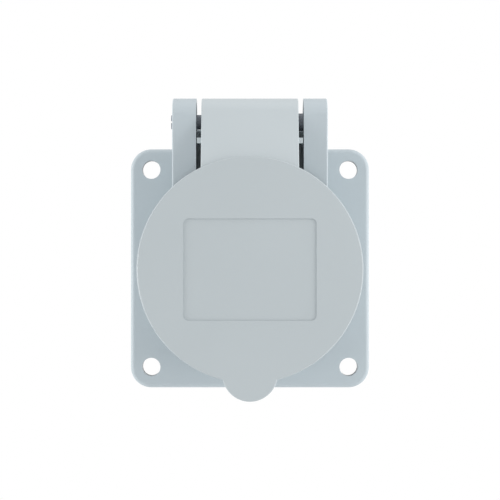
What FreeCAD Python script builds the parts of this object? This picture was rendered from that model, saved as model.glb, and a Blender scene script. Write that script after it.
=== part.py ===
"""Panel mounted power socket, 16 A five pole, with a sprung hinged lid.

Millimetres. X runs to the right, Z runs up and the socket faces -Y.
The origin is the centre of the mounting face, which is the back of the flange gasket.
A "depth" is a distance in front of that face, so a point at depth d lies at y = -d.
"""
import FreeCAD, Part

import math
import os

import Sketcher

V = FreeCAD.Vector

DRIVING_SIZES = [
    ("fixing_pitch", 70.0, "fixing holes, centre to centre, both ways"),
    ("fixing_hole_radius", 3.25, "clearance for an M6 screw"),
    ("fixing_margin", 7.3, "fixing hole's centre to the flange's edge, and its corner radius"),
    ("flange_thickness", 5.0, "flange, front face to back face"),
    ("flange_edge_round", 1.4, "round on the flange's front edge"),
    ("gasket_thickness", 2.0, "flange gasket"),
    ("gasket_proud", 1.0, "how far the gasket stands out of the flange's back"),
    ("gasket_margin", 2.2, "flange edge to gasket seat"),
    ("gasket_play", 0.2, "gap round the gasket in its seat"),
    ("collar_outer", 34.75, "outside radius of the collar"),
    ("collar_wall", 2.5, "wall of the collar"),
    ("collar_reach", 40.5, "collar rim in front of the flange"),
    ("collar_rim_bevel", 0.5, "bevel on the collar's rim"),
    ("keyway_width", 8.2, "slot for the plug's key"),
    ("keyway_cut", 1.4, "depth of that slot in the wall"),
    ("rear_tube_outer", 34.6, "outside radius of the tube behind the panel"),
    ("rear_tube_wall", 2.0, "wall of that tube"),
    ("rear_tube_length", 9.0, "tube behind the flange's back face"),
    ("rear_tube_bevel", 0.5, "bevel on that tube's end"),
    ("pin_rise", 12.35, "hinge axis above the lid's rim"),
    ("pin_setback", 17.1, "hinge axis behind the lid's face"),
    ("pin_radius", 2.5, "hinge pin, thin length"),
    ("pin_shoulder_radius", 3.0, "hinge pin, thick length"),
    ("pin_seat_play", 0.04, "pin in the ears, on the radius"),
    ("pin_running_play", 0.08, "pin in the lid's cheeks, on the radius"),
    ("pin_head_radius", 4.5, "head of the hinge pin"),
    ("pin_head_length", 2.0, "thickness of the pin's head"),
    ("pin_head_play", 0.1, "gap round the head in its seat"),
    ("pin_barb_radius", 2.95, "barb of the snap end"),
    ("pin_barb_seat", 2.4, "counterbore that the barb snaps into"),
    ("pin_barb_room", 3.4, "radius of that counterbore"),
    ("pin_tip_radius", 2.33, "end of the snap end"),
    ("pin_tip_proud", 0.55, "snap end beyond the ear"),
    ("pin_slot", 0.86, "slot that lets the snap end close"),
    ("pin_slot_length", 7.6, "length of that slot"),
    ("ear_gap", 36.3, "between the two hinge ears"),
    ("ear_thickness", 8.05, "each hinge ear"),
    ("ear_head_radius", 8.05, "round head of an ear, about the pin"),
    ("ear_face_lead", 7.75, "flat front of an ear, in front of the pin axis"),
    ("ear_root_inset", 1.8, "flange's top edge down to where the ears' backs meet it"),
    ("ear_edge_round", 0.5, "round on an ear's outer edges"),
    ("ear_foot_height", 18.0, "bottom of the ears, inside the collar"),
    ("web_play", 0.85, "between the lid's barrel and the web"),
    ("web_thickness", 2.5, "web between the ears"),
    ("web_top_drop", 1.9, "top of the web below the pin axis"),
    ("web_edge_round", 1.1, "round on the web's top edges"),
    ("lid_collar_play", 0.9, "lid's skirt round the collar, on the radius"),
    ("lid_gap", 1.0, "collar's rim to the lid's plate"),
    ("lid_plate", 3.0, "thickness of the lid's plate"),
    ("lid_skirt_wall", 2.0, "wall of the lid's skirt"),
    ("lid_skirt_length", 8.0, "lid face to the skirt's edge"),
    ("lid_edge_round", 0.45, "round on the lid's front edge"),
    ("recess_width", 44.3, "bare shallow recess in the lid's face"),
    ("recess_height", 33.9, "the same, up and down"),
    ("recess_corner", 1.8, "the same, corner radius"),
    ("recess_depth", 0.4, "the same, depth"),
    ("tab_radius", 9.25, "thumb tab"),
    ("tab_inset", 3.05, "tab's centre inside the lid's rim"),
    ("tab_thickness", 4.0, "thumb tab"),
    ("arm_width", 32.7, "lid arm, side to side"),
    ("arm_barrel", 8.05, "outside radius of the arm round the pin"),
    ("arm_rim_setback", 0.64, "arm's front face behind the lid's, where its sides meet the rim"),
    ("arm_plate", 3.0, "wall of the arm"),
    ("arm_cheek", 3.6, "each side wall of the arm"),
    ("arm_edge_round", 0.35, "round on the arm's side edges"),
    ("arm_heel_slope", 28.0, "lower edge of a cheek, away from level"),
    ("lug_proud", 1.45, "side lug out of the cheek"),
    ("lug_height", 1.8, "side lug, up and down"),
    ("lug_length", 6.0, "side lug, front to back"),
    ("lug_lead", 9.6, "front of the lug, in front of the pin axis"),
    ("lug_drop", 5.8, "top of the lug below the pin axis"),
    ("rib_width", 1.2, "stiffening ribs inside the lid"),
    ("rib_height", 1.2, "the same ribs, out of the plate"),
    ("rib_ring", 20.0, "inside radius of the ring rib"),
    ("rib_reach", 28.0, "cross ribs from the lid's centre"),
    ("catch_width", 8.0, "catch inside the lid that holds a plug"),
    ("catch_thickness", 2.4, "catch"),
    ("catch_length", 4.0, "catch"),
    ("catch_gap", 1.2, "between the catch and the collar's bore"),
    ("catch_hook", 0.9, "hook at the end of the catch"),
    ("seal_width", 3.9, "lid seal, across its section"),
    ("seal_sink", 1.5, "groove for the seal in the lid's plate"),
    ("seal_play", 0.15, "gap on each side of the seal in its groove"),
    ("seal_lift", 0.1, "seal off the collar's rim"),
    ("spring_wire", 0.7, "radius of the spring wire"),
    ("spring_coil", 3.9, "radius of the coil, to the wire's centre"),
    ("spring_pitch", 2.3, "from turn to turn"),
    ("spring_turns", 4.0, "whole turns, before the part turn between the legs"),
    ("spring_leg_angle", 62.0, "where the lid's leg leaves the coil"),
    ("spring_rest_play", 0.1, "leg to what it bears on"),
    ("spring_tail", 12.5, "leg that bears on the housing"),
    ("spring_arm", 7.6, "leg that bears on the lid"),
    ("stop_half_width", 4.0, "lid stop, half its width"),
    ("stop_top_drop", 5.9, "top of the stop below the pin axis"),
    ("stop_back_lead", 2.6, "back of the stop, in front of the pin axis"),
    ("stop_thickness", 2.4, "rest for the spring's tail, front to back"),
    ("stop_side", 1.9, "rest beyond the spring's tail"),
    ("carrier_radius", 27.25, "contact carrier"),
    ("carrier_sink", 2.0, "carrier's face behind the collar's rim"),
    ("carrier_play", 0.3, "carrier in the housing's floor"),
    ("carrier_bevel", 0.8, "bevel on the carrier's face"),
    ("carrier_flange_play", 0.4, "carrier's flange in the rear tube"),
    ("carrier_flange", 3.0, "thickness of the carrier's flange"),
    ("carrier_tail_radius", 25.0, "carrier behind its flange"),
    ("carrier_tail", 22.0, "length of the carrier behind its flange"),
    ("carrier_front_wall", 2.8, "carrier's front wall"),
    ("carrier_core_radius", 11.4, "hollow in the middle of the carrier, open behind"),
    ("carrier_core_post", 3.6, "post in that hollow, for the retainer's screw"),
    ("carrier_core_front", 4.4, "carrier's face to that hollow"),
    ("contact_circle", 18.25, "contacts from the centre"),
    ("line_pin_radius", 2.5, "pin of a line or neutral contact"),
    ("earth_pin_radius", 3.0, "pin of the earth contact"),
    ("pin_entry_play", 0.4, "narrow end of a pin entry in the carrier's face, on the radius"),
    ("pin_entry_draft", 12.0, "flare of a pin entry towards the face"),
    ("carrier_key_width", 4.0, "key on the carrier's flange"),
    ("carrier_key_height", 1.4, "key, beyond the flange"),
    ("carrier_key_play", 0.2, "key in its notch"),
    ("sleeve_wall", 1.4, "contact sleeve"),
    ("sleeve_bore_length", 34.0, "contact sleeve, pin bore"),
    ("sleeve_block_wall", 2.3, "terminal end of a sleeve, beyond the bore radius"),
    ("sleeve_block_length", 30.0, "terminal end of a sleeve"),
    ("sleeve_slot", 0.7, "slots in a sleeve"),
    ("sleeve_slot_length", 16.0, "slots in a sleeve"),
    ("sleeve_mouth_bevel", 0.5, "bevel in the mouth of a sleeve"),
    ("sleeve_play", 0.1, "sleeve in the carrier's bore"),
    ("sleeve_setback", 0.4, "sleeve behind the carrier's front wall"),
    ("ring_thickness", 0.55, "clamp ring round a sleeve"),
    ("ring_length", 3.0, "clamp ring"),
    ("ring_setback", 1.2, "clamp ring behind the sleeve's mouth"),
    ("ring_gap", 0.9, "opening of a clamp ring"),
    ("ring_play", 0.05, "clamp ring on its sleeve"),
    ("wire_hole_radius", 1.9, "wire hole of a terminal"),
    ("wire_hole_length", 17.0, "wire hole of a terminal"),
    ("wire_entry_play", 0.4, "wire entry in the retainer, beyond the wire hole"),
    ("wire_funnel", 1.0, "widening of a wire entry, on the radius and in depth"),
    ("wire_funnel_slant", 45.0, "slope of that widening, from the wire's line"),
    ("retainer_bevel", 0.8, "bevel on the retainer's back"),
    ("clamp_screw_radius", 1.7, "terminal screw"),
    ("clamp_screw_length", 4.4, "terminal screw"),
    ("clamp_screw_play", 0.05, "terminal screw in its thread"),
    ("clamp_screw_inset", 10.0, "terminal screw from the carrier's rear end"),
    ("screw_access_play", 0.7, "screw hole in the carrier, beyond the screw"),
    ("screw_slot", 0.8, "driver slot"),
    ("screw_slot_cut", 0.9, "depth of a driver slot"),
    ("retainer_thickness", 3.0, "retainer behind the contacts"),
    ("seat_play", 0.1, "gap between flat faces that are screwed together"),
    ("carrier_screw_circle", 29.9, "carrier screws from the centre"),
    ("carrier_screw_angle", 45.0, "first carrier screw, up from +X"),
    ("carrier_screw_radius", 1.2, "carrier screw, thread"),
    ("carrier_screw_grip", 3.5, "carrier screw in the housing"),
    ("screw_head_radius", 2.3, "screw heads"),
    ("screw_head_height", 1.6, "screw heads"),
    ("screw_head_bevel", 0.6, "bevel round a screw head"),
    ("screw_thread_play", 0.05, "screw in its thread"),
    ("screw_hole_play", 0.35, "screw in its clearance hole"),
    ("retainer_screw_grip", 3.5, "retainer screw in the carrier"),
    ("overrun", 1.0, "how far a cut runs past the face that it opens"),
]
CONTACTS = ["earth", "line_1", "line_2", "line_3", "neutral"]
CONTACT_STEP = 360 / len(CONTACTS)
EARTH_ANGLE = -90

doc = FreeCAD.newDocument("PanelSocket")
sheet = doc.addObject("Spreadsheet::Sheet", "Sizes")


class Size:
    """A length or an angle: what it is now, and the sheet expression that keeps it so."""

    def __init__(self, value, text):
        self.value = value
        self.text = text

    def __add__(self, other):
        other = as_size(other)
        return Size(self.value + other.value, f"({self.text} + {other.text})")

    def __sub__(self, other):
        other = as_size(other)
        return Size(self.value - other.value, f"({self.text} - {other.text})")

    def __mul__(self, other):
        other = as_size(other)
        return Size(self.value * other.value, f"({self.text} * {other.text})")

    def __truediv__(self, other):
        other = as_size(other)
        return Size(self.value / other.value, f"({self.text} / {other.text})")

    def __neg__(self):
        return Size(-self.value, f"(0 - {self.text})")


def as_size(number):
    return number if isinstance(number, Size) else Size(float(number), f"{float(number):.6f}")


def sine(angle):
    return Size(math.sin(math.radians(angle.value)), f"sin({angle.text})")


def cosine(angle):
    return Size(math.cos(math.radians(angle.value)), f"cos({angle.text})")


def root(area):
    return Size(math.sqrt(area.value), f"sqrt({area.text})")


def touch_from(point, centre, radius, turn):
    """Where the line from a point touches a circle: the side is +1 or -1, seen from the point."""
    across, up = point[0] - centre[0], point[1] - centre[1]
    apart = across * across + up * up
    along = radius * radius / apart
    aside = radius * root(apart - radius * radius) / apart * turn
    return centre[0] + across * along - up * aside, centre[1] + up * along + across * aside


def fill_sheet():
    """Every driving size in a cell with its alias, and a Size for each by name."""
    sizes = {}
    for row, (alias, value, note) in enumerate(DRIVING_SIZES, start=1):
        sheet.set(f"A{row}", alias)
        sheet.set(f"B{row}", str(value))
        sheet.set(f"C{row}", note)
        sheet.setAlias(f"B{row}", alias)
        sizes[alias] = Size(float(value), f"Sizes.{alias}")
    doc.recompute()
    return sizes


class Sizes:
    """The driving sizes as attributes."""

    def __init__(self, sizes):
        self.__dict__.update(sizes)


s = Sizes(fill_sheet())
ZERO = as_size(0)

# Places that several pieces share
flange_half = s.fixing_pitch / 2 + s.fixing_margin
flange_back = s.gasket_proud
flange_front = flange_back + s.flange_thickness
collar_front = flange_front + s.collar_reach
collar_inner = s.collar_outer - s.collar_wall
rear_tube_inner = s.rear_tube_outer - s.rear_tube_wall
lid_underside = collar_front + s.lid_gap
lid_face = lid_underside + s.lid_plate
skirt_inner = s.collar_outer + s.lid_collar_play
lid_radius = skirt_inner + s.lid_skirt_wall
pin_depth = lid_face - s.pin_setback
pin_height = lid_radius + s.pin_rise
ear_front = pin_depth + s.ear_face_lead
ear_inside = s.ear_gap / 2
ear_outside = ear_inside + s.ear_thickness
ear_top = pin_height + s.ear_head_radius
web_front = pin_depth - s.arm_barrel - s.web_play
web_top = pin_height - s.web_top_drop
arm_side = s.arm_width / 2
channel_side = arm_side - s.arm_cheek
carrier_face = collar_front - s.carrier_sink
flange_seat = flange_back - s.seat_play
carrier_flange_back = flange_seat - s.carrier_flange
carrier_end = carrier_flange_back - s.carrier_tail
carrier_key_top = rear_tube_inner - s.carrier_flange_play + s.carrier_key_height
retainer_front = carrier_end - s.seat_play
retainer_back = retainer_front - s.retainer_thickness
sleeve_front = carrier_face - s.carrier_front_wall - s.sleeve_setback
sleeve_back = carrier_end
clamp_screw_depth = carrier_end + s.clamp_screw_inset


def new_body(label):
    body = doc.addObject("PartDesign::Body", label)
    body.Label = label
    return body


def origin_feature(body, role):
    return next(f for f in body.Origin.OriginFeatures if f.Role == role)


def new_sketch(body, plane, label, offset=ZERO):
    """A sketch on one of the body's own planes, moved along that plane's normal."""
    sketch = body.newObject("Sketcher::SketchObject", label)
    sketch.AttachmentSupport = [(origin_feature(body, plane), "")]
    sketch.MapMode = "FlatFace"
    sketch.AttachmentOffset = FreeCAD.Placement(V(0, 0, offset.value), FreeCAD.Rotation())
    if offset is not ZERO:
        sketch.setExpression("AttachmentOffset.Base.z", offset.text)
    return sketch


def dimension(sketch, kind, *where, size):
    """A driving dimension whose value comes from the sheet."""
    number = sketch.addConstraint(Sketcher.Constraint(kind, *where, size.value))
    sketch.setExpression(f"Constraints[{number}]", size.text)


def place_point(sketch, geometry, point, across, up):
    """Tie a point to the sketch's origin, both ways."""
    for kind, axis, size in (("DistanceX", -2, across), ("DistanceY", -1, up)):
        if size is ZERO:
            sketch.addConstraint(Sketcher.Constraint("PointOnObject", geometry, point, axis))
        else:
            dimension(sketch, kind, -1, 1, geometry, point, size=size)


def add_circle(sketch, across, up, radius):
    centre = V(across.value, up.value, 0)
    circle = sketch.addGeometry(Part.Circle(centre, V(0, 0, 1), radius.value), False)
    place_point(sketch, circle, 3, across, up)
    dimension(sketch, "Radius", circle, size=radius)


def add_polygon(sketch, corners):
    """Straight sides through corners, given as (across, up)."""
    places = [V(across.value, up.value, 0) for across, up in corners]
    count = len(corners)
    first = sketch.GeometryCount
    for i in range(count):
        sketch.addGeometry(Part.LineSegment(places[i], places[(i + 1) % count]), False)
    for i in range(count):
        joined = Sketcher.Constraint("Coincident", first + i, 2, first + (i + 1) % count, 1)
        sketch.addConstraint(joined)
    for i, (across, up) in enumerate(corners):
        place_point(sketch, first + i, 1, across, up)


def add_rectangle(sketch, left, right, bottom, top):
    add_polygon(sketch, [(left, bottom), (right, bottom), (right, top), (left, top)])


def add_rounded_rectangle(sketch, half_width, half_height, radius):
    """A rectangle about the sketch's origin, with its corners as arcs."""
    quarter = math.pi / 2
    side, rise = half_width - radius, half_height - radius
    corners = [(side, rise), (-side, rise), (-side, -rise), (side, -rise)]
    first = sketch.GeometryCount
    for i, (across, up) in enumerate(corners):
        circle = Part.Circle(V(across.value, up.value, 0), V(0, 0, 1), radius.value)
        sketch.addGeometry(Part.ArcOfCircle(circle, i * quarter, (i + 1) * quarter), False)
    for i in range(4):
        start = sketch.getPoint(first + i, 2)
        end = sketch.getPoint(first + (i + 1) % 4, 1)
        sketch.addGeometry(Part.LineSegment(start, end), False)
    for i in range(4):
        line, following = first + 4 + i, first + (i + 1) % 4
        sketch.addConstraint(Sketcher.Constraint("Tangent", first + i, 2, line, 1))
        sketch.addConstraint(Sketcher.Constraint("Tangent", line, 2, following, 1))
    place_point(sketch, first, 3, *corners[0])
    place_point(sketch, first + 2, 3, *corners[2])
    sketch.addConstraint(Sketcher.Constraint("Horizontal", first + 4))
    sketch.addConstraint(Sketcher.Constraint("Vertical", first + 5))
    dimension(sketch, "Radius", first, size=radius)
    sketch.addConstraint(Sketcher.Constraint("Equal", first, first + 2))


def extrude(kind, sketch, length, label, both_ways=False, backwards=False, narrowing=None):
    """A Pad or Pocket of a sketch, by a length from the sheet, its sides leaning in if asked."""
    body = sketch.getParentGeoFeatureGroup()
    feature = body.newObject(f"PartDesign::{kind}", label)
    feature.Profile = sketch
    feature.setExpression("Length", length.text)
    feature.SideType = "Symmetric" if both_ways else "One side"
    feature.Reversed = backwards
    if narrowing:
        feature.setExpression("TaperAngle", (-narrowing).text)
    body.Tip = feature
    return feature


def pad(sketch, length, label, **ways):
    return extrude("Pad", sketch, length, label, **ways)


def pocket(sketch, length, label, **ways):
    """A pocket, checked to have taken material away."""
    body = sketch.getParentGeoFeatureGroup()
    doc.recompute()
    before = body.Shape.Volume
    feature = extrude("Pocket", sketch, length, label, **ways)
    doc.recompute()
    if body.Shape.Volume >= before:
        raise ValueError(f"{label} cuts nothing")
    return feature


def turn(kind, sketch, axis, label):
    """A Revolution or Groove of a sketch, all the way round one of its own axes."""
    body = sketch.getParentGeoFeatureGroup()
    feature = body.newObject(f"PartDesign::{kind}", label)
    feature.Profile = sketch
    feature.ReferenceAxis = (sketch, [axis])
    feature.Angle = 360
    body.Tip = feature
    return feature


def dress(kind, body, wanted, size, label):
    """A Fillet or Chamfer on the edges of the body that wanted picks."""
    doc.recompute()
    base = body.Tip
    names = [f"Edge{i}" for i, edge in enumerate(base.Shape.Edges, start=1) if wanted(edge)]
    if not names:
        raise ValueError(f"{label} finds no edge")
    feature = body.newObject(f"PartDesign::{kind}", label)
    feature.Base = (base, names)
    feature.setExpression("Radius" if kind == "Fillet" else "Size", size.text)
    body.Tip = feature
    return feature


def at_depth(depth):
    """Picks the edges that lie wholly at one depth."""
    def wanted(edge):
        box = edge.BoundBox
        return abs(box.YMin + depth.value) < 1e-4 and abs(box.YMax + depth.value) < 1e-4
    return wanted


def on_side(distance, behind, in_front):
    """Picks the edges in the planes x = +-distance that lie between two depths."""
    def wanted(edge):
        box = edge.BoundBox
        flat = box.XLength < 1e-4 and abs(abs(box.XMin) - distance.value) < 1e-4
        middle = -(box.YMin + box.YMax) / 2
        return flat and behind.value < middle < in_front.value
    return wanted


def straight_across(height, depths):
    """Picks the edges that run level, from side to side, at one height and any of the depths."""
    def wanted(edge):
        box = edge.BoundBox
        level = abs(box.ZMin - height.value) < 1e-4 and abs(box.ZMax - height.value) < 1e-4
        in_line = any(
            abs(box.YMin + depth.value) < 1e-4 and abs(box.YMax + depth.value) < 1e-4
            for depth in depths
        )
        return level and in_line
    return wanted


def contact_place(number):
    """Where a contact sits: its angle from +X, and its centre across and up."""
    angle = EARTH_ANGLE + number * CONTACT_STEP
    across = s.contact_circle * math.cos(math.radians(angle))
    up = s.contact_circle * math.sin(math.radians(angle))
    return angle, across, up


def contact_pin_radius(name):
    return s.earth_pin_radius if name == "earth" else s.line_pin_radius


def terminal_radius(name):
    return contact_pin_radius(name) + s.sleeve_block_wall


def fixing_holes(body, label, depth, length):
    """The four panel fixing holes."""
    half = s.fixing_pitch / 2
    sketch = new_sketch(body, "XZ_Plane", f"{label}_sketch", depth)
    for across in (half, -half):
        for up in (half, -half):
            add_circle(sketch, across, up, s.fixing_hole_radius)
    pocket(sketch, length, label)


def carrier_screw_places():
    """The two carrier screws, opposite each other."""
    across = s.carrier_screw_circle * cosine(s.carrier_screw_angle)
    up = s.carrier_screw_circle * sine(s.carrier_screw_angle)
    return [(across, up), (-across, -up)]


def draw_ear_profile(sketch):
    """Side view of the hinge bracket: flat front, round head, back falling to the flange."""
    inside_flange = flange_front - s.flange_thickness / 2
    meeting = (-flange_front, flange_half - s.ear_root_inset)
    touch = touch_from(meeting, (-pin_depth, pin_height), s.ear_head_radius, 1)
    fall = (touch[1] - meeting[1]) / (meeting[0] - touch[0])
    crease = pin_height + root(
        s.ear_head_radius * s.ear_head_radius - s.ear_face_lead * s.ear_face_lead
    )
    corners = [
        (-ear_front, crease),
        (-ear_front, s.ear_foot_height),
        (-inside_flange, s.ear_foot_height),
        (-inside_flange, meeting[1] - fall * s.flange_thickness / 2),
        touch,
    ]
    places = [V(across.value, up.value, 0) for across, up in corners]
    for start, end in zip(places, places[1:]):
        sketch.addGeometry(Part.LineSegment(start, end), False)
    top = V(-pin_depth.value, ear_top.value, 0)
    arc = sketch.addGeometry(Part.Arc(places[-1], top, places[0]), False)
    for i in range(3):
        sketch.addConstraint(Sketcher.Constraint("Coincident", i, 2, i + 1, 1))
    dimension(sketch, "DistanceX", -1, 1, 0, 1, size=-ear_front)
    for i in (1, 2, 3):
        place_point(sketch, i, 1, *corners[i])
    place_point(sketch, arc, 3, -pin_depth, pin_height)
    dimension(sketch, "Radius", arc, size=s.ear_head_radius)
    sketch.addConstraint(Sketcher.Constraint("Tangent", 3, 2, arc, 1))
    sketch.addConstraint(Sketcher.Constraint("Coincident", arc, 2, 0, 1))


def build_hinge_bracket(body):
    """Two ears and the web between them, as one block that the arm's slot is cut from."""
    width = s.ear_gap + s.ear_thickness * 2
    profile = new_sketch(body, "YZ_Plane", "bracket_sketch")
    draw_ear_profile(profile)
    pad(profile, width, "bracket", both_ways=True)
    outer_edges = on_side(ear_outside, flange_front + s.overrun, ear_front + s.overrun)
    dress("Fillet", body, outer_edges, s.ear_edge_round, "ear_edges")

    slot = new_sketch(body, "YZ_Plane", "arm_slot_sketch")
    slot_front = -ear_front - s.overrun
    slot_top = ear_top + s.overrun
    slot_foot = s.ear_foot_height - s.overrun
    add_polygon(slot, [
        (slot_front, slot_foot),
        (-web_front, slot_foot),
        (-web_front, web_top),
        (-flange_back, web_top),
        (-flange_back, slot_top),
        (slot_front, slot_top),
    ])
    pocket(slot, s.ear_gap, "arm_slot", both_ways=True)

    behind = new_sketch(body, "YZ_Plane", "web_back_sketch")
    web_back = web_front - s.web_thickness
    add_rectangle(behind, -web_back, -flange_front, slot_foot, slot_top)
    pocket(behind, s.ear_gap, "web_back", both_ways=True)
    web_edges = straight_across(web_top, (web_front, web_back))
    dress("Fillet", body, web_edges, s.web_edge_round, "web_edges")


def build_tubes(body):
    """The collar in front of the panel, the tube behind it, the bore through both, and its slots."""
    collar = new_sketch(body, "XZ_Plane", "collar_sketch", flange_front)
    add_circle(collar, ZERO, ZERO, s.collar_outer)
    pad(collar, s.collar_reach, "collar")

    tube = new_sketch(body, "XZ_Plane", "rear_tube_sketch", flange_back)
    add_circle(tube, ZERO, ZERO, s.rear_tube_outer)
    pad(tube, s.rear_tube_length, "rear_tube", backwards=True)

    bore = new_sketch(body, "XY_Plane", "bore_sketch")
    ring_inner = s.carrier_radius + s.carrier_play
    mouth = -collar_front - s.overrun
    tail = -flange_back + s.rear_tube_length + s.overrun
    add_polygon(bore, [
        (ZERO, mouth),
        (collar_inner, mouth),
        (collar_inner, -flange_front),
        (ring_inner, -flange_front),
        (ring_inner, -flange_back),
        (rear_tube_inner, -flange_back),
        (rear_tube_inner, tail),
        (ZERO, tail),
    ])
    turn("Groove", bore, "V_Axis", "bore")
    dress("Chamfer", body, at_depth(collar_front), s.collar_rim_bevel, "collar_rim")
    tube_end = flange_back - s.rear_tube_length
    dress("Chamfer", body, at_depth(tube_end), s.rear_tube_bevel, "rear_tube_end")

    key = new_sketch(body, "XZ_Plane", "keyway_sketch", collar_front)
    half = s.keyway_width / 2
    key_root = -collar_inner - s.keyway_cut
    add_rectangle(key, -half, half, key_root, -s.carrier_radius - s.overrun)
    pocket(key, s.collar_reach, "keyway")
    notch = new_sketch(body, "XZ_Plane", "carrier_notch_sketch", flange_back)
    half = s.carrier_key_width / 2 + s.carrier_key_play
    add_rectangle(notch, -half, half, s.carrier_tail_radius, carrier_key_top + s.carrier_key_play)
    pocket(notch, s.rear_tube_length + s.overrun, "carrier_notch")


def build_lid_stop(body):
    """The post under the hinge that stops the open lid, and holds the spring's tail."""
    foot = s.collar_outer - s.collar_wall / 2
    top = pin_height - s.stop_top_drop
    rest_back = pin_depth + s.spring_coil + s.spring_wire + s.spring_rest_play
    stop = new_sketch(body, "YZ_Plane", "stop_sketch")
    stop_back = pin_depth + s.stop_back_lead
    add_rectangle(stop, -rest_back - s.stop_thickness, -stop_back, foot, top)
    pad(stop, s.stop_half_width * 2, "lid_stop", both_ways=True)

    rest = new_sketch(body, "YZ_Plane", "spring_rest_sketch", s.stop_half_width)
    add_rectangle(rest, -rest_back - s.stop_thickness, -rest_back, foot, top)
    pad(rest, spring_tail_side + s.stop_side - s.stop_half_width, "spring_rest")


def build_pin_seats(body):
    """Stepped pin holes through the ears, with room for the pin's head and barb."""
    ends = [
        ("left_pin_hole", -ear_inside, s.pin_radius + s.pin_seat_play, False),
        ("right_pin_hole", ear_inside, s.pin_shoulder_radius + s.pin_seat_play, True),
    ]
    for label, start, radius, outwards in ends:
        hole = new_sketch(body, "YZ_Plane", f"{label}_sketch", start)
        add_circle(hole, -pin_depth, pin_height, radius)
        pocket(hole, s.ear_thickness + s.overrun, label, backwards=outwards)
    barb = new_sketch(body, "YZ_Plane", "barb_seat_sketch", -ear_outside)
    add_circle(barb, -pin_depth, pin_height, s.pin_barb_room)
    pocket(barb, s.pin_barb_seat, "barb_seat", backwards=True)
    head = new_sketch(body, "YZ_Plane", "head_seat_sketch", ear_outside)
    add_circle(head, -pin_depth, pin_height, s.pin_head_radius + s.pin_head_play)
    pocket(head, s.pin_head_length + s.pin_head_play, "head_seat")


def build_housing():
    """Flange, collar, hinge bracket and rear tube, moulded in one."""
    body = new_body("housing")
    flange = new_sketch(body, "XZ_Plane", "flange_sketch", flange_back)
    add_rounded_rectangle(flange, flange_half, flange_half, s.fixing_margin)
    pad(flange, s.flange_thickness, "flange")
    dress("Fillet", body, at_depth(flange_front), s.flange_edge_round, "flange_edge")

    build_hinge_bracket(body)
    build_tubes(body)
    build_lid_stop(body)
    build_pin_seats(body)

    seat = new_sketch(body, "XZ_Plane", "gasket_seat_sketch", flange_back)
    seat_half = flange_half - s.gasket_margin
    add_rounded_rectangle(seat, seat_half, seat_half, s.fixing_margin - s.gasket_margin)
    add_circle(seat, ZERO, ZERO, s.rear_tube_outer)
    seat_cut = s.gasket_thickness - s.gasket_proud
    pocket(seat, seat_cut, "gasket_seat", backwards=True)

    fixing_holes(body, "fixing_holes", flange_front, s.flange_thickness)

    threads = new_sketch(body, "XZ_Plane", "carrier_thread_sketch", flange_back)
    for across, up in carrier_screw_places():
        add_circle(threads, across, up, s.carrier_screw_radius + s.screw_thread_play)
    pocket(threads, s.carrier_screw_grip + s.overrun / 2, "carrier_threads", backwards=True)
    return body


def build_flange_gasket():
    """Flat rubber gasket in the flange's back, round the rear tube."""
    body = new_body("flange_gasket")
    outline = new_sketch(body, "XZ_Plane", "gasket_sketch")
    inset = s.gasket_margin + s.gasket_play
    half = flange_half - inset
    add_rounded_rectangle(outline, half, half, s.fixing_margin - inset)
    add_circle(outline, ZERO, ZERO, s.rear_tube_outer + s.gasket_play)
    pad(outline, s.gasket_thickness - s.seat_play / 2, "gasket")
    fixing_holes(body, "gasket_holes", s.gasket_thickness, s.gasket_thickness)
    return body


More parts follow.
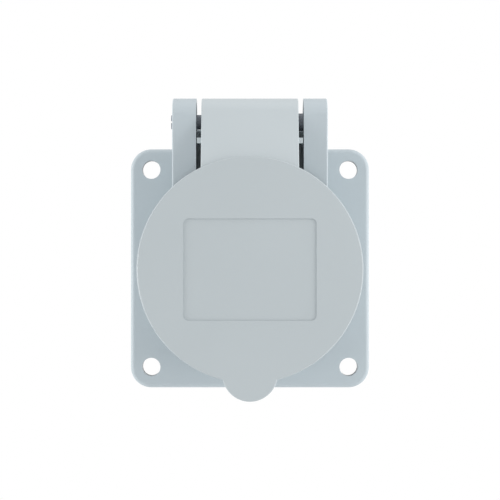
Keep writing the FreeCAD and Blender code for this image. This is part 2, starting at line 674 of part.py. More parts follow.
def build_arm(body):
    """Hollow arm from the lid up and round the pin, open towards the housing."""
    pin = (-pin_depth, pin_height)
    skirt_edge = lid_face - s.lid_skirt_length
    skirt_middle = lid_radius - s.lid_skirt_wall / 2
    foot = root(skirt_middle * skirt_middle - arm_side * arm_side)
    rim = root(lid_radius * lid_radius - arm_side * arm_side)
    rim_corner = (s.arm_rim_setback - lid_face, rim)
    face_touch = touch_from(rim_corner, pin, s.arm_barrel, -1)
    lean = (rim_corner[0] - face_touch[0]) / (rim_corner[1] - face_touch[1])
    heel = s.arm_heel_slope
    heel_touch = (pin[0] + s.arm_barrel * sine(heel), pin[1] - s.arm_barrel * cosine(heel))
    heel_end = heel_touch[1] - (heel_touch[0] + skirt_edge) * sine(heel) / cosine(heel)
    sides = new_sketch(body, "YZ_Plane", "arm_sketch")
    add_polygon(sides, [
        face_touch,
        (rim_corner[0] - lean * (rim - foot), foot),
        (-skirt_edge, foot),
        (-skirt_edge, heel_end),
        heel_touch,
    ])
    pad(sides, s.arm_width, "arm", both_ways=True)
    barrel = new_sketch(body, "YZ_Plane", "barrel_sketch")
    add_circle(barrel, -pin_depth, pin_height, s.arm_barrel)
    pad(barrel, s.arm_width, "barrel", both_ways=True)
    side_edges = on_side(arm_side, ZERO, lid_face + s.overrun)
    dress("Fillet", body, side_edges, s.arm_edge_round, "arm_edges")

    lugs = new_sketch(body, "YZ_Plane", "lug_sketch")
    lug_front = -pin_depth - s.lug_lead
    lug_top = pin_height - s.lug_drop
    add_rectangle(lugs, lug_front, lug_front + s.lug_length, lug_top - s.lug_height, lug_top)
    pad(lugs, s.arm_width + s.lug_proud * 2, "side_lugs", both_ways=True)

    inner = s.arm_barrel - s.arm_plate
    inner_touch = tuple(
        centre + (touch - centre) * (inner / s.arm_barrel) for centre, touch in zip(pin, face_touch)
    )
    leg = s.spring_leg_angle
    leg_line = s.spring_coil + s.spring_wire + s.spring_rest_play
    leg_start = (pin[0] + leg_line * cosine(leg), pin[1] + leg_line * sine(leg))
    reach = s.arm_barrel * 2
    leg_end = (leg_start[0] + reach * sine(leg), leg_start[1] - reach * cosine(leg))
    channel_foot = foot - s.overrun
    channel = new_sketch(body, "YZ_Plane", "channel_sketch")
    add_polygon(channel, [
        leg_start,
        leg_end,
        (leg_end[0], channel_foot),
        (inner_touch[0] - lean * (inner_touch[1] - channel_foot), channel_foot),
        inner_touch,
    ])
    pocket(channel, channel_side * 2, "channel", both_ways=True)
    hollow = new_sketch(body, "YZ_Plane", "barrel_hollow_sketch")
    add_circle(hollow, -pin_depth, pin_height, inner)
    pocket(hollow, channel_side * 2, "barrel_hollow", both_ways=True)

    cheeks = [
        ("left_cheek_bore", -channel_side, s.pin_radius, False),
        ("right_cheek_bore", channel_side, s.pin_shoulder_radius, True),
    ]
    for label, start, radius, outwards in cheeks:
        bore = new_sketch(body, "YZ_Plane", f"{label}_sketch", start)
        add_circle(bore, -pin_depth, pin_height, radius + s.pin_running_play)
        pocket(bore, s.arm_cheek + s.overrun, label, backwards=outwards)


def build_lid_ribs(body):
    """A ring and a cross of stiffening ribs on the inside of the lid's plate."""
    start = lid_underside + s.lid_plate / 4
    length = s.rib_height + s.lid_plate / 4
    half = s.rib_width / 2
    ring = new_sketch(body, "XZ_Plane", "ring_rib_sketch", start)
    add_circle(ring, ZERO, ZERO, s.rib_ring)
    add_circle(ring, ZERO, ZERO, s.rib_ring + s.rib_width)
    pad(ring, length, "ring_rib", backwards=True)
    level = new_sketch(body, "XZ_Plane", "level_rib_sketch", start)
    add_rectangle(level, -s.rib_reach, s.rib_reach, -half, half)
    pad(level, length, "level_rib", backwards=True)
    upright = new_sketch(body, "XZ_Plane", "upright_rib_sketch", start)
    add_rectangle(upright, -half, half, -s.rib_reach, s.rib_reach)
    pad(upright, length, "upright_rib", backwards=True)


def build_lid():
    """Round lid with its skirt, thumb tab, recess, ribs, catch and hinge arm."""
    body = new_body("lid")
    build_arm(body)

    disc = new_sketch(body, "XZ_Plane", "disc_sketch", lid_face)
    add_circle(disc, ZERO, ZERO, lid_radius)
    pad(disc, s.lid_skirt_length, "disc", backwards=True)
    tab = new_sketch(body, "XZ_Plane", "tab_sketch", lid_face)
    add_circle(tab, ZERO, s.tab_inset - lid_radius, s.tab_radius)
    pad(tab, s.tab_thickness, "tab", backwards=True)
    dress("Fillet", body, at_depth(lid_face), s.lid_edge_round, "lid_edge")

    inside = new_sketch(body, "XY_Plane", "inside_sketch")
    seal_inner = skirt_inner - s.seal_width - s.seal_play * 2
    groove_floor = lid_underside + s.seal_sink
    skirt_edge = lid_face - s.lid_skirt_length
    add_polygon(inside, [
        (ZERO, -lid_underside),
        (seal_inner, -lid_underside),
        (seal_inner, -groove_floor),
        (skirt_inner, -groove_floor),
        (skirt_inner, -skirt_edge + s.overrun),
        (ZERO, -skirt_edge + s.overrun),
    ])
    turn("Groove", inside, "V_Axis", "inside")

    recess = new_sketch(body, "XZ_Plane", "recess_sketch", lid_face)
    add_rounded_rectangle(recess, s.recess_width / 2, s.recess_height / 2, s.recess_corner)
    pocket(recess, s.recess_depth, "recess")
    build_lid_ribs(body)

    catch = new_sketch(body, "YZ_Plane", "catch_sketch")
    outer = -collar_inner + s.catch_gap
    inner = outer + s.catch_thickness
    tip = -lid_underside + s.catch_length
    plate_middle = -lid_underside - s.lid_plate / 2
    add_polygon(catch, [
        (plate_middle, outer),
        (tip, outer),
        (tip, inner + s.catch_hook),
        (tip - s.catch_hook, inner + s.catch_hook),
        (tip - s.catch_hook * 2, inner),
        (plate_middle, inner),
    ])
    pad(catch, s.catch_width, "catch", both_ways=True)
    return body


def build_lid_seal():
    """Rubber ring in the lid's groove, which meets the collar's rim."""
    body = new_body("lid_seal")
    outer = skirt_inner - s.seal_play
    inner = outer - s.seal_width
    front = -(lid_underside + s.seal_sink - s.seal_play / 2)
    back = -(collar_front + s.seal_lift)
    section = new_sketch(body, "XY_Plane", "seal_sketch")
    lip = s.seal_width / 4
    add_polygon(section, [
        (inner, front),
        (outer, front),
        (outer, -lid_underside),
        (outer - lip, back),
        (inner + lip, back),
        (inner, -lid_underside),
    ])
    turn("Revolution", section, "V_Axis", "seal")
    return body


def build_hinge_pin():
    """Stepped pin: a flush head on the right, a split snap end on the left."""
    body = new_body("hinge_pin")
    head_face = ear_outside - s.pin_head_play
    head_back = head_face - s.pin_head_length
    step = channel_side - s.seat_play
    step_width = s.pin_shoulder_radius - s.pin_radius
    barb_face = -(ear_outside - s.pin_barb_seat + s.seat_play)
    barb_end = barb_face - s.pin_barb_radius / 4
    tip = -(ear_outside + s.pin_tip_proud)
    profile = new_sketch(body, "XY_Plane", "pin_sketch")
    add_polygon(profile, [
        (head_face, ZERO),
        (head_face, s.pin_head_radius),
        (head_back, s.pin_head_radius),
        (head_back, s.pin_shoulder_radius),
        (step, s.pin_shoulder_radius),
        (step - step_width, s.pin_radius),
        (barb_face, s.pin_radius),
        (barb_face, s.pin_barb_radius),
        (barb_end, s.pin_barb_radius),
        (tip, s.pin_tip_radius),
        (tip, ZERO),
    ])
    turn("Revolution", profile, "H_Axis", "pin")
    slot = new_sketch(body, "XZ_Plane", "pin_slot_sketch")
    half = s.pin_slot / 2
    add_rectangle(slot, tip - s.overrun, tip + s.pin_slot_length, -half, half)
    pocket(slot, s.pin_barb_radius * 3, "pin_slot", both_ways=True)
    body.setExpression("Placement.Base.y", (-pin_depth).text)
    body.setExpression("Placement.Base.z", pin_height.text)
    return body


# The coil runs from the lid's leg, on the left, to the tail that bears on the housing
TAIL_ANGLE = 180
spring_part_turn = (as_size(TAIL_ANGLE) - s.spring_leg_angle) / 360
spring_length = s.spring_pitch * (s.spring_turns + spring_part_turn)
spring_leg_side = -spring_length / 2
spring_tail_side = spring_length / 2


def spring_leg(label, side, angle, direction, length):
    """A straight leg from the coil, with a ball where it meets the coil."""
    middle = V(side.value, -pin_depth.value, pin_height.value)
    out = V(0, math.cos(math.radians(angle)), math.sin(math.radians(angle)))
    start = middle + out * s.spring_coil.value
    leg = doc.addObject("Part::Cylinder", f"spring_{label}_leg")
    leg.setExpression("Radius", s.spring_wire.text)
    leg.setExpression("Height", length.text)
    leg.Placement = FreeCAD.Placement(start, FreeCAD.Rotation(V(0, 0, 1), direction))
    ball = doc.addObject("Part::Sphere", f"spring_{label}_bend")
    ball.setExpression("Radius", s.spring_wire.text)
    ball.Placement = FreeCAD.Placement(start, FreeCAD.Rotation())
    return [leg, ball]


def build_torsion_spring():
    """Round wire spring on the pin, swept along a helix, with two straight legs."""
    leg = math.radians(s.spring_leg_angle.value)
    out = V(0, math.cos(leg), math.sin(leg))
    along = V(0, -math.sin(leg), math.cos(leg))
    start = V(spring_leg_side.value, -pin_depth.value, pin_height.value)
    turned = FreeCAD.Placement(start, FreeCAD.Rotation(out, along, V(1, 0, 0), "ZXY"))
    helix = doc.addObject("Part::Helix", "spring_line")
    helix.setExpression("Pitch", s.spring_pitch.text)
    helix.setExpression("Height", spring_length.text)
    helix.setExpression("Radius", s.spring_coil.text)
    helix.Placement = turned
    wire = doc.addObject("Part::Circle", "spring_wire_section")
    wire.setExpression("Radius", s.spring_wire.text)
    section = FreeCAD.Rotation(V(0, 0, 1), V(0, 1, 0))
    local = FreeCAD.Placement(V(s.spring_coil.value, 0, 0), section)
    wire.Placement = turned.multiply(local)
    doc.recompute()
    coil = doc.addObject("Part::Sweep", "spring_coil_sweep")
    coil.Sections = [wire]
    coil.Spine = (helix, [f"Edge{i + 1}" for i in range(len(helix.Shape.Edges))])
    coil.Solid = True
    coil.Frenet = True
    parts = [coil]
    parts += spring_leg("lid", spring_leg_side, s.spring_leg_angle.value, -along, s.spring_arm)
    parts += spring_leg("tail", spring_tail_side, TAIL_ANGLE, V(0, 0, -1), s.spring_tail)
    spring = doc.addObject("Part::MultiFuse", "torsion_spring")
    spring.Shapes = parts
    spring.Label = "torsion_spring"
    return spring


def build_contact_carrier():
    """Insulating insert with the five contact bores, pushed in from behind the panel."""
    body = new_body("contact_carrier")
    front = new_sketch(body, "XZ_Plane", "carrier_sketch", flange_seat)
    add_circle(front, ZERO, ZERO, s.carrier_radius)
    pad(front, carrier_face - flange_seat, "carrier_front")
    dress("Chamfer", body, at_depth(carrier_face), s.carrier_bevel, "carrier_edge")
    rim = new_sketch(body, "XZ_Plane", "carrier_flange_sketch", flange_seat)
    add_circle(rim, ZERO, ZERO, rear_tube_inner - s.carrier_flange_play)
    pad(rim, s.carrier_flange, "carrier_rim", backwards=True)
    key = new_sketch(body, "XZ_Plane", "carrier_key_sketch", flange_seat)
    half = s.carrier_key_width / 2
    add_rectangle(key, -half, half, s.carrier_tail_radius, carrier_key_top)
    pad(key, s.carrier_flange, "carrier_key", backwards=True)
    tail = new_sketch(body, "XZ_Plane", "carrier_tail_sketch", carrier_flange_back)
    add_circle(tail, ZERO, ZERO, s.carrier_tail_radius)
    pad(tail, s.carrier_tail, "carrier_back", backwards=True)

    bores = new_sketch(body, "XZ_Plane", "contact_bore_sketch", sleeve_front + s.sleeve_setback)
    entries = new_sketch(body, "XZ_Plane", "pin_entry_sketch", carrier_face)
    flare = s.carrier_front_wall * sine(s.pin_entry_draft) / cosine(s.pin_entry_draft)
    for number, name in enumerate(CONTACTS):
        _, across, up = contact_place(number)
        add_circle(bores, across, up, terminal_radius(name) + s.sleeve_play)
        add_circle(entries, across, up, contact_pin_radius(name) + s.pin_entry_play + flare)
    pocket(bores, sleeve_front + s.sleeve_setback - carrier_end, "contact_bores")
    pocket(entries, s.carrier_front_wall, "pin_entries", narrowing=s.pin_entry_draft)

    core = new_sketch(body, "XZ_Plane", "core_sketch", carrier_end)
    add_circle(core, ZERO, ZERO, s.carrier_core_radius)
    add_circle(core, ZERO, ZERO, s.carrier_core_post)
    core_length = carrier_face - carrier_end - s.carrier_core_front
    pocket(core, core_length, "core", backwards=True)

    access = new_sketch(body, "XY_Plane", "screw_access_sketch", -s.contact_circle)
    add_circle(access, ZERO, -clamp_screw_depth, s.clamp_screw_radius + s.screw_access_play)
    hole = pocket(access, s.carrier_tail_radius - s.contact_circle + s.overrun, "screw_access")
    doc.recompute()
    around = body.newObject("PartDesign::PolarPattern", "screw_accesses")
    around.Originals = [hole]
    around.Axis = (origin_feature(body, "Y_Axis"), [""])
    around.Angle = 360
    around.Occurrences = len(CONTACTS)
    body.Tip = around

    screws = new_sketch(body, "XZ_Plane", "carrier_screw_sketch", flange_seat)
    for across, up in carrier_screw_places():
        add_circle(screws, across, up, s.carrier_screw_radius + s.screw_hole_play)
    pocket(screws, s.carrier_flange, "carrier_screw_holes")
    thread = new_sketch(body, "XZ_Plane", "retainer_thread_sketch", carrier_end)
    add_circle(thread, ZERO, ZERO, s.carrier_screw_radius + s.screw_thread_play)
    pocket(thread, s.retainer_screw_grip + s.overrun / 2, "retainer_thread", backwards=True)
    return body


def build_contact_retainer():
    """Disc behind the contacts, with a widened entry for each wire."""
    body = new_body("contact_retainer")
    disc = new_sketch(body, "XZ_Plane", "retainer_sketch", retainer_back)
    add_circle(disc, ZERO, ZERO, s.carrier_tail_radius)
    pad(disc, s.retainer_thickness, "retainer")
    dress("Chamfer", body, at_depth(retainer_back), s.retainer_bevel, "retainer_edge")
    holes = new_sketch(body, "XZ_Plane", "retainer_hole_sketch", retainer_front)
    for number in range(len(CONTACTS)):
        _, across, up = contact_place(number)
        add_circle(holes, across, up, s.wire_hole_radius + s.wire_entry_play)
    add_circle(holes, ZERO, ZERO, s.carrier_screw_radius + s.screw_hole_play)
    pocket(holes, s.retainer_thickness, "retainer_holes")
    funnels = new_sketch(body, "XZ_Plane", "wire_funnel_sketch", retainer_back)
    mouth = s.wire_hole_radius + s.wire_entry_play + s.wire_funnel
    for number in range(len(CONTACTS)):
        _, across, up = contact_place(number)
        add_circle(funnels, across, up, mouth)
    slant = s.wire_funnel_slant
    pocket(funnels, s.wire_funnel, "wire_funnels", backwards=True, narrowing=slant)
    return body


def stand_at_contact(body, number):
    """Move a body from the socket's axis to a contact, its +X facing outwards."""
    angle, across, up = contact_place(number)
    body.Placement = FreeCAD.Placement(V(), FreeCAD.Rotation(V(0, 1, 0), -angle))
    body.setExpression("Placement.Base.x", across.text)
    body.setExpression("Placement.Base.z", up.text)


def build_contact_sleeve(number, name):
    """Turned brass sleeve: slotted where the pin enters, solid where the wire is clamped."""
    body = new_body(f"{name}_sleeve")
    bore = contact_pin_radius(name)
    outer = bore + s.sleeve_wall
    block = terminal_radius(name)
    block_front = -sleeve_back - s.sleeve_block_length
    profile = new_sketch(body, "XY_Plane", f"{name}_sleeve_sketch")
    add_polygon(profile, [
        (bore + s.sleeve_mouth_bevel, -sleeve_front),
        (outer, -sleeve_front),
        (outer, block_front),
        (block, block_front),
        (block, -sleeve_back),
        (s.wire_hole_radius, -sleeve_back),
        (s.wire_hole_radius, -sleeve_back - s.wire_hole_length),
        (ZERO, -sleeve_back - s.wire_hole_length),
        (ZERO, -sleeve_front + s.sleeve_bore_length),
        (bore, -sleeve_front + s.sleeve_bore_length),
        (bore, -sleeve_front + s.sleeve_mouth_bevel),
    ])
    turn("Revolution", profile, "V_Axis", f"{name}_sleeve_turned")
    half = s.sleeve_slot / 2
    slot_end = -sleeve_front + s.sleeve_slot_length
    slot_start = -sleeve_front - s.overrun
    across = new_sketch(body, "XY_Plane", f"{name}_slot_sketch")
    add_rectangle(across, -half, half, slot_start, slot_end)
    pocket(across, outer * 3, f"{name}_slot", both_ways=True)
    upright = new_sketch(body, "YZ_Plane", f"{name}_cross_slot_sketch")
    add_rectangle(upright, slot_start, slot_end, -half, half)
    pocket(upright, outer * 3, f"{name}_cross_slot", both_ways=True)
    thread = new_sketch(body, "YZ_Plane", f"{name}_thread_sketch")
    screw_hole = s.clamp_screw_radius + s.clamp_screw_play
    add_circle(thread, -clamp_screw_depth, ZERO, screw_hole)
    pocket(thread, block + s.overrun, f"{name}_thread", backwards=True)
    stand_at_contact(body, number)
    return body


def build_clamp_ring(number, name):
    """Open steel ring that keeps a sleeve's fingers on the pin."""
    body = new_body(f"{name}_clamp_ring")
    inner = contact_pin_radius(name) + s.sleeve_wall + s.ring_play
    front = sleeve_front - s.ring_setback
    ring = new_sketch(body, "XZ_Plane", f"{name}_ring_sketch", front)
    add_circle(ring, ZERO, ZERO, inner + s.ring_thickness)
    add_circle(ring, ZERO, ZERO, inner)
    pad(ring, s.ring_length, f"{name}_ring", backwards=True)
    gap = new_sketch(body, "XZ_Plane", f"{name}_ring_gap_sketch", front)
    half = s.ring_gap / 2
    add_rectangle(gap, ZERO, inner + s.ring_thickness * 2, -half, half)
    pocket(gap, s.ring_length, f"{name}_ring_gap")
    stand_at_contact(body, number)
    return body


def build_terminal_screw(number, name):
    """Slotted screw that clamps the wire, set in from the side."""
    body = new_body(f"{name}_terminal_screw")
    start = s.wire_hole_radius / 2
    shank = new_sketch(body, "YZ_Plane", f"{name}_screw_sketch", start)
    add_circle(shank, -clamp_screw_depth, ZERO, s.clamp_screw_radius)
    pad(shank, s.clamp_screw_length, f"{name}_screw")
    slot = new_sketch(body, "YZ_Plane", f"{name}_slot_sketch", start + s.clamp_screw_length)
    half = s.screw_slot / 2
    reach = s.clamp_screw_radius * 2
    add_rectangle(slot, -clamp_screw_depth - reach, -clamp_screw_depth + reach, -half, half)
    pocket(slot, s.screw_slot_cut, f"{name}_screw_slot")
    stand_at_contact(body, number)
    return body


def build_screw(label, across, up, head_front, grip):
    """Slotted pan head screw, driven from behind the panel."""
    body = new_body(label)
    head = new_sketch(body, "XZ_Plane", f"{label}_head_sketch", head_front)
    add_circle(head, ZERO, ZERO, s.screw_head_radius)
    pad(head, s.screw_head_height, f"{label}_head", backwards=True)
    rim = at_depth(head_front - s.screw_head_height)
    dress("Chamfer", body, rim, s.screw_head_bevel, f"{label}_rim")
    shank = new_sketch(body, "XZ_Plane", f"{label}_shank_sketch", head_front)
    add_circle(shank, ZERO, ZERO, s.carrier_screw_radius)
    pad(shank, grip, f"{label}_shank")
    slot = new_sketch(body, "XZ_Plane", f"{label}_slot_sketch", head_front - s.screw_head_height)
    reach, half = s.screw_head_radius * 2, s.screw_slot / 2
    add_rectangle(slot, -reach, reach, -half, half)
    pocket(slot, s.screw_slot_cut, f"{label}_slot", backwards=True)
    body.setExpression("Placement.Base.x", across.text)
    body.setExpression("Placement.Base.z", up.text)
    return body


def build_screws():
    """Two screws through the carrier's flange, and one through the retainer."""
    grip = s.carrier_flange + s.carrier_screw_grip
    screws = []
    for side, (across, up) in zip(("right", "left"), carrier_screw_places()):
        label = f"carrier_screw_{side}"
        screws.append(build_screw(label, across, up, carrier_flange_back, grip))
    grip = s.retainer_thickness + s.retainer_screw_grip
    screws.append(build_screw("retainer_screw", ZERO, ZERO, retainer_back, grip))
    return screws


def build_socket():
    pieces = [
        build_housing(),
        build_flange_gasket(),
        build_lid(),
        build_lid_seal(),
        build_hinge_pin(),
        build_torsion_spring(),
        build_contact_carrier(),
        build_contact_retainer(),
    ]
    for number, name in enumerate(CONTACTS):
        pieces.append(build_contact_sleeve(number, name))
        pieces.append(build_clamp_ring(number, name))
        pieces.append(build_terminal_screw(number, name))
    return pieces + build_screws()


def check_document(pieces):
    """Stop before anything is written if an object failed or a shape is bad."""
    doc.recompute()
    for item in doc.Objects:
        if "Invalid" in item.State or "Error" in item.State:
            raise ValueError(f"{item.Label} failed: {item.State}")
    for piece in pieces:
        shape = piece.Shape
        if shape.isNull() or not shape.isValid() or not shape.Solids:
            raise ValueError(f"{piece.Label} has no valid solid")


def main():
    pieces = build_socket()
    check_document(pieces)
    os.makedirs("parts", exist_ok=True)
    for piece in pieces:
        piece.Shape.exportStep(f"parts/{piece.Label}.step")
        box = piece.Shape.BoundBox
        size = " x ".join(f"{side:.2f}" for side in (box.XLength, box.YLength, box.ZLength))
        print(f"{piece.Label}: {len(piece.Shape.Solids)} solid, {size} mm")


main()
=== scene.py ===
# Looks of the panel mounted power socket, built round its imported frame.
# Metres. X runs to the right, Z runs up and the socket faces -Y, as in the frame.
import math

import bmesh
import bpy
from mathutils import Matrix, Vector


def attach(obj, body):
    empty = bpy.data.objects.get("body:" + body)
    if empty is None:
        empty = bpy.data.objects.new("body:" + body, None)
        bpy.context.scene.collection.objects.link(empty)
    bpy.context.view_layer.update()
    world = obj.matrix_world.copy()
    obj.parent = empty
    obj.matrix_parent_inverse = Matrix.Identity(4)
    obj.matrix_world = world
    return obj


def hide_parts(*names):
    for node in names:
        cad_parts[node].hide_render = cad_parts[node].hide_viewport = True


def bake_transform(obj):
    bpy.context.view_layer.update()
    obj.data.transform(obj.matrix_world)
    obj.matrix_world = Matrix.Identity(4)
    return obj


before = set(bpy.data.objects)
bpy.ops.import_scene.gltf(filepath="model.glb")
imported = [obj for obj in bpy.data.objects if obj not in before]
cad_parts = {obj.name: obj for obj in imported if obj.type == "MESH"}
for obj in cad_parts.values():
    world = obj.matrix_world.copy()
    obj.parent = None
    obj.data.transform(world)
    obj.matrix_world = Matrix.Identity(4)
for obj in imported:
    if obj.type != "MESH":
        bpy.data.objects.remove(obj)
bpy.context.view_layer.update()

MM = 0.001

# The socket's contacts, its lid's radius and the place of its hinge pin, as in the frame
CONTACTS = ["earth", "line_1", "line_2", "line_3", "neutral"]
LID_RADIUS = 37.65 * MM
PIN_Y = -33.4 * MM
PIN_Z = 50.0 * MM

# The arm's painted light starts this far outside the lid's rim, and is full this far out
ARM_LIGHT_START = 0.05 * MM
ARM_LIGHT_END = 0.3 * MM

# The corner where each ear's flat front meets its round head
EAR_FRONT = PIN_Y - 7.75 * MM
EAR_CREASE = PIN_Z + 2.1772 * MM

# The spring on the pin: radii of its wire and coil, the coil's width between the middles
# of its two legs, its turns, the angle where it starts, and the lengths of the legs
SPRING_WIRE = 0.7 * MM
SPRING_COIL = 3.9 * MM
SPRING_WIDTH = 9.96 * MM
SPRING_TURNS = 4 + 118 / 360
SPRING_LID_ANGLE = math.radians(62)
SPRING_LID_LEG = 7.6 * MM
SPRING_TAIL = 12.5 * MM
SPRING_POINTS = 320
SPRING_SIDES = 16

# Points nearer than this become one, and edges sharper than this stay corners
MERGE_DISTANCE = 0.002 * MM
CORNER_ANGLE = math.radians(25)

# Sizes of the patterns in the finishes
MELT_FLOW = 35 * MM
MOULD_GRAIN = 0.5 * MM
FIBRE_CLOUDS = 1.2 * MM
RUBBER_BLOOM = 4 * MM
RUBBER_PITS = 0.4 * MM
TURNED_RINGS = 0.5 * MM
BRASS_TARNISH = 3 * MM
ZINC_CRYSTALS = 0.6 * MM
ZINC_CAST = 1.5 * MM
SOAP_MARKS = 0.3 * MM
PAPER_CLOUDS = 60 * MM

# Blender's wave texture goes through this angle over one unit of place, at scale 1
WAVE_ANGLE = 20

# The paper under the socket, the light of the tent round it, and the camera
FLOOR_HEIGHT = -0.6
FLOOR_RADIUS = 1.5
FLOOR_SIDES = 96
TENT_LIGHT = 0.699
CAMERA_PLACE = (0.00002, -0.686, 0.00651)
CAMERA_SENSOR = 36
CAMERA_LENS = 138


def linear(hex_colour):
    """An sRGB hex colour as the linear one that Blender's sockets take."""
    parts = [int(hex_colour[i:i + 2], 16) / 255 for i in (1, 3, 5)]
    return [p / 12.92 if p <= 0.04045 else ((p + 0.055) / 1.055) ** 2.4
            for p in parts] + [1]


def add_node(tree, kind, inputs=None, **settings):
    """A node with its settings. Each input gets a value, or the socket that feeds it."""
    node = tree.nodes.new(kind)
    for name, value in settings.items():
        setattr(node, name, value)
    for name, value in (inputs or {}).items():
        if isinstance(value, bpy.types.NodeSocket):
            tree.links.new(value, node.inputs[name])
        else:
            node.inputs[name].default_value = value
    return node


def new_material(name):
    """An empty material, its node tree and the place of each point on the piece."""
    material = bpy.data.materials.new(name)
    material.use_nodes = True
    tree = material.node_tree
    tree.nodes.clear()
    place = add_node(tree, "ShaderNodeTexCoord").outputs["Object"]
    return material, tree, place


def close_material(tree, shader):
    """The shader as the material's surface."""
    add_node(tree, "ShaderNodeOutputMaterial", {"Surface": shader.outputs["BSDF"]})


# Polycarbonate blend moulded in a spark-eroded steel tool: an even, silky grey with a fine
# grain and no metal in it. The real grain is about 0.1 mm, and is drawn at 0.5 mm to show.
# The housing's tones are a touch bluer than the lid's, as painted shade: its faces sit
# deeper, in bluish shade.
def make_housing_grey():
    material, tree, place = new_material("moulded_housing_grey")
    # Bluer tones than the lid's: painted shade for the shade on the housing's deeper faces
    finish_moulded_grey(tree, place, cloudy_tint(tree, place, "#B5BEC2", "#B9C2C6"))
    return material


# The same grey on the lid. Its hinge arm is painted a shade paler than the disc, as painted
# light for the light that its sloping face catches from above. The two tones meet along the
# disc's rim.
def make_lid_grey():
    material, tree, place = new_material("moulded_lid_grey")
    disc_tint = cloudy_tint(tree, place, "#B5BCBE", "#B9C0C2")
    # The arm's paler tones are painted light: its sloping face catches more light from
    # above
    arm_painted_light_tint = cloudy_tint(tree, place, "#BBC2C4", "#C0C7C9")
    flat = add_node(tree, "ShaderNodeVectorMath", {
        0: place, 1: (1, 0, 1)}, operation="MULTIPLY")
    out = add_node(tree, "ShaderNodeVectorMath", {
        0: flat.outputs["Vector"]}, operation="LENGTH")
    beyond = add_node(tree, "ShaderNodeMapRange", {
        "Value": out.outputs["Value"], "From Min": LID_RADIUS + ARM_LIGHT_START,
        "From Max": LID_RADIUS + ARM_LIGHT_END})
    height = add_node(tree, "ShaderNodeSeparateXYZ", {"Vector": place})
    above = add_node(tree, "ShaderNodeMath", {
        0: height.outputs["Z"], 1: 0.0}, operation="GREATER_THAN")
    # Where the arm's painted light goes: outside the disc's rim, in the upper half
    arm_light_mask = add_node(tree, "ShaderNodeMath", {
        0: beyond.outputs["Result"], 1: above.outputs[0]}, operation="MULTIPLY")
    tint = add_node(tree, "ShaderNodeMix", {
        "Factor": arm_light_mask.outputs[0], "A": disc_tint, "B": arm_painted_light_tint}, data_type="RGBA")
    finish_moulded_grey(tree, place, tint.outputs["Result"])
    return material


def cloudy_tint(tree, place, dark, light):
    """Two tones of a moulding's colour, in wide clouds as the melt flowed."""
    flow = add_node(tree, "ShaderNodeTexNoise", {
        "Vector": place, "Scale": 1 / MELT_FLOW, "Detail": 2.0, "Roughness": 0.5})
    tint = add_node(tree, "ShaderNodeMix", {
        "Factor": flow.outputs["Fac"], "A": linear(dark), "B": linear(light)},
        data_type="RGBA")
    return tint.outputs["Result"]


def finish_moulded_grey(tree, place, tint):
    """The grain and the silky shine of the grey mouldings."""
    grain = add_node(tree, "ShaderNodeTexNoise", {
        "Vector": place, "Scale": 1 / MOULD_GRAIN, "Detail": 3.0, "Roughness": 0.6})
    sheen = add_node(tree, "ShaderNodeMapRange", {
        "Value": grain.outputs["Fac"], "To Min": 0.4, "To Max": 0.5})
    bump = add_node(tree, "ShaderNodeBump", {
        "Height": grain.outputs["Fac"], "Strength": 0.35, "Distance": 0.012 * MM})
    shader = add_node(tree, "ShaderNodeBsdfPrincipled", {
        "Base Color": tint, "Roughness": sheen.outputs["Result"],
        "IOR": 1.57, "Specular IOR Level": 0.2, "Normal": bump.outputs["Normal"]})
    close_material(tree, shader)


# Glass filled nylon, moulded: dark grey with a faint cloud where the fibres lie near the
# skin, and a little more shine than the housing's grey. The pin's copy is its own dark grey
# lifted paler, as painted light for the light that reaches it between the ears.
def make_dark_nylon(name, dark, light, gloss):
    material, tree, place = new_material(name)
    cloud = add_node(tree, "ShaderNodeTexNoise", {
        "Vector": place, "Scale": 1 / FIBRE_CLOUDS, "Detail": 4.0, "Roughness": 0.65})
    tint = add_node(tree, "ShaderNodeMix", {
        "Factor": cloud.outputs["Fac"], "A": linear(dark), "B": linear(light)},
        data_type="RGBA")
    sheen = add_node(tree, "ShaderNodeMapRange", {
        "Value": cloud.outputs["Fac"], "To Min": 0.34, "To Max": 0.48})
    bump = add_node(tree, "ShaderNodeBump", {
        "Height": cloud.outputs["Fac"], "Strength": 0.3, "Distance": 0.01 * MM})
    shader = add_node(tree, "ShaderNodeBsdfPrincipled", {
        "Base Color": tint.outputs["Result"], "Roughness": sheen.outputs["Result"],
        "IOR": 1.53, "Specular IOR Level": gloss, "Normal": bump.outputs["Normal"]})
    close_material(tree, shader)
    return material


# Moulded nitrile rubber: matt and nearly black, with the pale bloom that old rubber gets.
# Its skin takes the tool's fine pits, which are drawn at 0.4 mm to show.
def make_nitrile_rubber():
    material, tree, place = new_material("moulded_nitrile_rubber")
    bloom = add_node(tree, "ShaderNodeTexNoise", {
        "Vector": place, "Scale": 1 / RUBBER_BLOOM, "Detail": 5.0, "Roughness": 0.6})
    pits = add_node(tree, "ShaderNodeTexNoise", {
        "Vector": place, "Scale": 1 / RUBBER_PITS, "Detail": 2.0})
    tint = add_node(tree, "ShaderNodeMix", {
        "Factor": bloom.outputs["Fac"], "A": linear("#1B1D1E"), "B": linear("#2A2C2D")},
        data_type="RGBA")
    bump = add_node(tree, "ShaderNodeBump", {
        "Height": pits.outputs["Fac"], "Strength": 0.4, "Distance": 0.015 * MM})
    shader = add_node(tree, "ShaderNodeBsdfPrincipled", {
        "Base Color": tint.outputs["Result"], "Roughness": 0.78, "IOR": 1.52,
        "Normal": bump.outputs["Normal"]})
    close_material(tree, shader)
    return material


